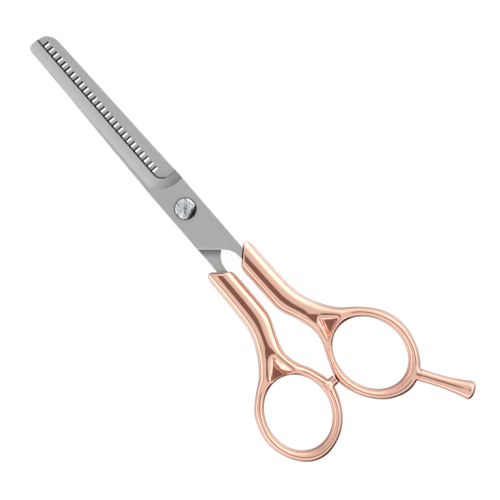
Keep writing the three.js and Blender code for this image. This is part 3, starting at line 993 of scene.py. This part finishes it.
def ground_steel(name, dark, light, blue=1.0):
    """Steel satin ground along the blade, with faint cloudiness and stray scratches. Returns its
    nodes and base colour, still to be finished. blue scales green and blue against red."""
    s = surface(name)
    lines = s.noise((0.06, 9.0, 9.0), 1.0, detail=5.0, roughness=0.6)
    cloud = s.noise((1, 1, 1), 0.35, detail=3.0)
    stray = scratches(s, (0.9, 0.35, 0.5), 0.9, 0.012)
    grain = s.noise((1, 1, 1), 3.5, detail=2.0)
    tone = s.maths("ADD", s.ramp(lines, 0.3, 0.7, -0.06, 0.06), s.ramp(cloud, 0.3, 0.7, 0.46, 0.54))
    tone = s.maths("ADD", tone, s.ramp(grain, 0.3, 0.7, -0.14, 0.14))
    base = s.blend(tone, *((level, level * blue, level * blue, 1) for level in (dark, light)))
    rough = s.maths("ADD", s.ramp(lines, 0.3, 0.7, 0.42, 0.50), s.ramp(stray, 0, 1, 0.0, -0.08))
    fine = s.bump(lines, 0.25, 0.012)
    s.finish(Metallic=1.0, Roughness=rough, Normal=s.bump(stray, 0.15, 0.008, fine))
    return s, base


def flat_steel():
    """The flats of the blades."""
    s, base = ground_steel("satin_steel", 0.41, 0.72, 1.035)
    return s.finish(Base_Color=base)


def comb_steel():
    """The comb blade, with painted shade in a strip on its shank beside the other blade's slanted
    step.
    """
    s, base = ground_steel("comb_steel", 0.42, 0.74, 1.035)
    start = np.array([STEP_X, SPINE_HALF])
    along = np.array([CROTCH_X, 0.0]) - start
    normal = np.array([along[1], -along[0]]) / np.linalg.norm(along)
    # painted shade: the base colour darkens towards the plain blade's slanted step, as in that
    # step's shadow
    off = s.maths("ABSOLUTE", s.maths("SUBTRACT", s.towards(normal), float(start @ normal)))
    return s.finish(Base_Color=s.darken(base, s.ramp(off, 0.0, 2.2, 0.4, 1.0)))


def hollow_steel():
    """The hollow grind of the plain blade, with painted shade where the grind starts."""
    s, base = ground_steel("hollow_steel", 0.35, 0.63)
    start = GRIND_X - PLAIN_GRIND_R[1] * GRIND_SQUASH
    # painted shade: the base colour darkens towards the start of the grind, where its scoop is
    # shaded
    grind_start_shade = s.ramp(s.place()["X"], start, start + 4.5, 0.55, 1.0)
    return s.finish(Base_Color=s.darken(base, grind_start_shade))


def shaded_edge_steel():
    """The fine bevel along the cutting edge: painted shade, a near-black base colour for the bevel
    that faces down into the gap.
    """
    s = surface("shaded_edge_steel")
    lines = s.noise((4.0, 0.4, 0.4), 2.0)
    # painted shade: a near-black base colour for the bevel in the gap's shade
    base = s.blend(lines, (0.03, 0.03, 0.032, 1), (0.06, 0.06, 0.064, 1))
    return s.finish(Base_Color=base, Metallic=1.0, Roughness=s.ramp(lines, 0.3, 0.7, 0.28, 0.36))


def shaded_milled_steel():
    """The walls of the comb's slots: painted shade in a dark base colour, with fine milling marks.
    """
    s = surface("shaded_milled_steel")
    marks = s.noise((0.5, 0.5, 6.0), 3.0)
    # painted shade: a dark base colour for the walls down in the slots
    base = s.blend(marks, (0.10, 0.10, 0.105, 1), (0.20, 0.20, 0.21, 1))
    return s.finish(Base_Color=base, Metallic=1.0, Roughness=s.ramp(marks, 0.3, 0.7, 0.4, 0.55),
                    Normal=s.bump(marks, 0.3, 0.01))


PALE_HEIGHT = (0.9, 1.9)  # the base colour is paler below this height over the middle plane ...
PALE_X = (-50, -42)  # ... and ahead of here, along the arms


def rose_gold(name, smooth_rough, worn_rough):
    """Rose-gold plating, between two roughnesses, with handling marks and fine scratches, and
    a paler base colour along the arms' edges."""
    s = surface(name)
    cloud = s.noise((1, 1, 1), 0.22, detail=3.0)
    smudge = s.noise((1, 1, 1), 1.3, detail=5.0, roughness=0.65)
    stray = scratches(s, (0.5, 1.1, 0.8), 1.1, 0.010)
    base = s.blend(cloud, (0.825, 0.477, 0.374, 1), (0.895, 0.575, 0.462, 1))
    x, _, z = s.place()
    height = s.maths("ABSOLUTE", s.maths("SUBTRACT", z, float(RIDE)))
    pale_edges = s.maths("MULTIPLY", s.ramp(height, *PALE_HEIGHT, 1.0, 0.0), s.ramp(x, *PALE_X, 0.0, 1.0))
    base = s.blend(pale_edges, base, (0.93, 0.71, 0.62, 1))
    handled = s.ramp(smudge, 0.35, 0.7, smooth_rough, worn_rough)
    wave = s.bump(s.noise((0.5, 1.4, 1.0), 0.9, detail=2.0), 0.12, 0.03)
    return s.finish(Base_Color=base, Metallic=1.0, Specular_Tint=(0.74, 0.80, 0.84, 1),
                    Roughness=s.maths("ADD", handled, s.ramp(stray, 0, 1, 0.0, 0.07)),
                    Normal=s.bump(stray, 0.12, 0.006, wave))


DARK_SIDE_ANGLE = math.radians(200)  # the side of the screw's head that has a painted dark reflection


def polished_steel():
    """The screw: polished and dented, with turning marks, with painted shade round its edge and a
    painted dark reflection down one side."""
    s = surface("polished_steel")
    x, y, _ = s.place()
    radius = s.maths("SQRT", s.maths("ADD", s.maths("MULTIPLY", x, x), s.maths("MULTIPLY", y, y)))
    rings = s.maths("SINE", s.maths("MULTIPLY", radius, 70.0))
    smudge = s.noise((1, 1, 1), 1.6, detail=4.0)
    base = s.blend(s.ramp(smudge, 0.3, 0.7, 0, 1), (0.28, 0.33, 0.355, 1), (0.90, 0.94, 0.96, 1))
    # painted shade round the head's edge, and a painted dark reflection down one side of the head
    painted_shade = s.ramp(radius, HEAD_R - 0.3, HEAD_R - 0.12, 1.0, 0.04)
    aside = s.towards((math.cos(DARK_SIDE_ANGLE), math.sin(DARK_SIDE_ANGLE)))
    painted_shade = s.maths("MULTIPLY", painted_shade, s.ramp(aside, 1.2, 2.1, 1.0, 0.03))
    dents = s.bump(s.noise((1, 1, 1), 0.55, detail=1.0), 1.0, 0.7)
    return s.finish(Base_Color=s.darken(base, painted_shade), Metallic=1.0,
                    Roughness=s.ramp(smudge, 0.3, 0.7, 0.10, 0.24),
                    Normal=s.bump(rings, 0.1, 0.004, dents))


def nylon():
    s = surface("nylon")
    speck = s.noise((1, 1, 1), 6.0, detail=3.0)
    base = s.blend(speck, (0.66, 0.65, 0.61, 1), (0.76, 0.75, 0.71, 1))
    return s.finish(Base_Color=base, Roughness=s.ramp(speck, 0.3, 0.7, 0.45, 0.6),
                    Normal=s.bump(speck, 0.2, 0.02))


# ---- studio ----

# What the polished metal reflects: brightness against the angle from straight up, in degrees,
# towards each side of the studio. Dark overhead is the camera's boom, the bright stretches are
# soft boxes low on both sides, and the dark end is the open side of the studio.
STUDIO_PEAK = 2.0
BOOM = [(0, 0.20), (13, 0.20)]  # overhead, the same on every side
STUDIO = {
    "+Y": [(17, 0.95), (57, 0.98), (61, 0.35), (67, 0.35), (71, 1.9), (92, 1.9), (98, 0.6),
           (104, 0.6), (110, 1.2), (142, 1.1), (152, 0.5), (180, 0.4)],
    "-Y": [(17, 0.85), (46, 1.0), (52, 1.95), (84, 1.95), (92, 0.6), (98, 0.6), (104, 1.15),
           (142, 1.1), (152, 0.5), (180, 0.4)],
    "+X": [(17, 0.9), (45, 0.8), (60, 0.65), (78, 0.65), (84, 1.4), (96, 1.4), (102, 0.6),
           (130, 0.3), (180, 0.4)],
    "-X": [(17, 0.95), (50, 0.9), (58, 0.7), (68, 0.7), (72, 1.6), (86, 1.6), (91, 0.08),
           (150, 0.08), (180, 0.3)],
}
SHADE_TINT = (1.35, 0.9, 0.8)  # the dark parts of the studio are warm ...
NEUTRAL_FROM = 0.28  # ... up to this part of the peak


def studio_world():
    world = bpy.data.worlds.new("studio")
    bpy.context.scene.world = world
    s = Nodes(world)
    s.tree.nodes.clear()
    place = s.node("ShaderNodeTexCoord").outputs["Generated"]
    x, y, z = s.node("ShaderNodeSeparateXYZ", Vector=place).outputs
    down = s.maths("DIVIDE", s.maths("ARCCOSINE", z), math.pi)
    flat = s.maths("ADD", s.maths("MULTIPLY", x, x), s.maths("MULTIPLY", y, y))
    flat = s.maths("ADD", flat, 1e-6)
    total = 0.0
    for name, stops in STUDIO.items():
        part = s.maths("MULTIPLY", x if "X" in name else y, -1.0 if "-" in name else 1.0)
        part = s.maths("MAXIMUM", part, 0.0)
        weight = s.maths("DIVIDE", s.maths("MULTIPLY", part, part), flat)
        levels = [(angle / 180, [level / STUDIO_PEAK] * 3) for angle, level in BOOM + stops]
        total = s.maths("ADD", total, s.maths("MULTIPLY", weight, s.colours(down, levels)))
    shade = 0.2 / STUDIO_PEAK
    tints = [(level, [level] * 3) for level in (0, shade, NEUTRAL_FROM, 1)]
    tints[1] = (shade, [shade * c for c in SHADE_TINT])
    light = s.node("ShaderNodeBackground", Color=s.colours(total, tints), Strength=STUDIO_PEAK)
    s.node("ShaderNodeOutputWorld", Surface=light.outputs[0])


FLOOR_R = 2.2  # metres: the sweep that is floor and backdrop in one
SWEEP_BEND = 0.5
SWEEP_HEIGHT = 1.5
SWEEP_Z = -0.02 * MM  # just under the shears


def sweep():
    """A white light table that curves up into its backdrop all round."""
    s = surface("light_table")
    grain = s.noise((1, 1, 1), 0.02, detail=2.0)
    s.finish(Base_Color=s.blend(grain, (0.16, 0.16, 0.16, 1), (0.18, 0.18, 0.18, 1)), Roughness=1.0,
             Specular_IOR_Level=0.0, Emission_Color=(1, 1, 1, 1), Emission_Strength=0.9)
    rows = [(FLOOR_R + SWEEP_BEND, SWEEP_HEIGHT)]
    rows += [(FLOOR_R + SWEEP_BEND * math.sin(a), SWEEP_BEND * (1 - math.cos(a)))
             for a in np.linspace(math.pi / 2, 0.2, 8)]
    rows += [(FLOOR_R, 0.0), (0.3, 0.0)]
    verts, faces = lathe([ring(r, h + SWEEP_Z) for r, h in rows], last=(0, 0, SWEEP_Z))
    table = new_object("light_table", verts, faces, [s.owner])
    # The camera and diffuse rays see it; it casts no shadow, and the polished metal reflects the
    # studio instead.
    table.visible_glossy = False
    table.visible_shadow = False


CAMERA_HEIGHT = 0.75  # metres
VIEW_WIDTH = 138.6  # millimetres across the picture, at the middle plane
VIEW_TURN = math.radians(229.1)  # direction of the picture's right-hand side, from +X
AIM_OFFSET = (-5.65, -4.2)  # from the middle of the frame's box to the middle of the picture


def camera():
    middle = (np.array(cad_low) + np.array(cad_high)) / 2
    aim = middle[:2] + np.array(AIM_OFFSET) * MM
    data = bpy.data.cameras.new("camera")
    data.sensor_width = 36
    data.lens = data.sensor_width * CAMERA_HEIGHT / (VIEW_WIDTH * MM)
    view = bpy.data.objects.new("camera", data)
    view.location = (*aim, RIDE * MM + CAMERA_HEIGHT)
    view.rotation_euler = (0, 0, VIEW_TURN)
    bpy.context.scene.collection.objects.link(view)
    bpy.context.scene.camera = view


# ---- the scene ----

camera()
studio_world()
sweep()
bpy.context.scene.view_settings.view_transform = "Standard"

gold = rose_gold("rose_gold", 0.05, 0.12)
plain_blade(flat_steel(), hollow_steel(), shaded_edge_steel())
comb_blade(comb_steel(), shaded_milled_steel())
finger_bow(gold)
thumb_bow(gold)
finger_rest(rose_gold("handled_rose_gold", 0.14, 0.22))
pivot_screw(polished_steel())
pivot_washer(nylon())
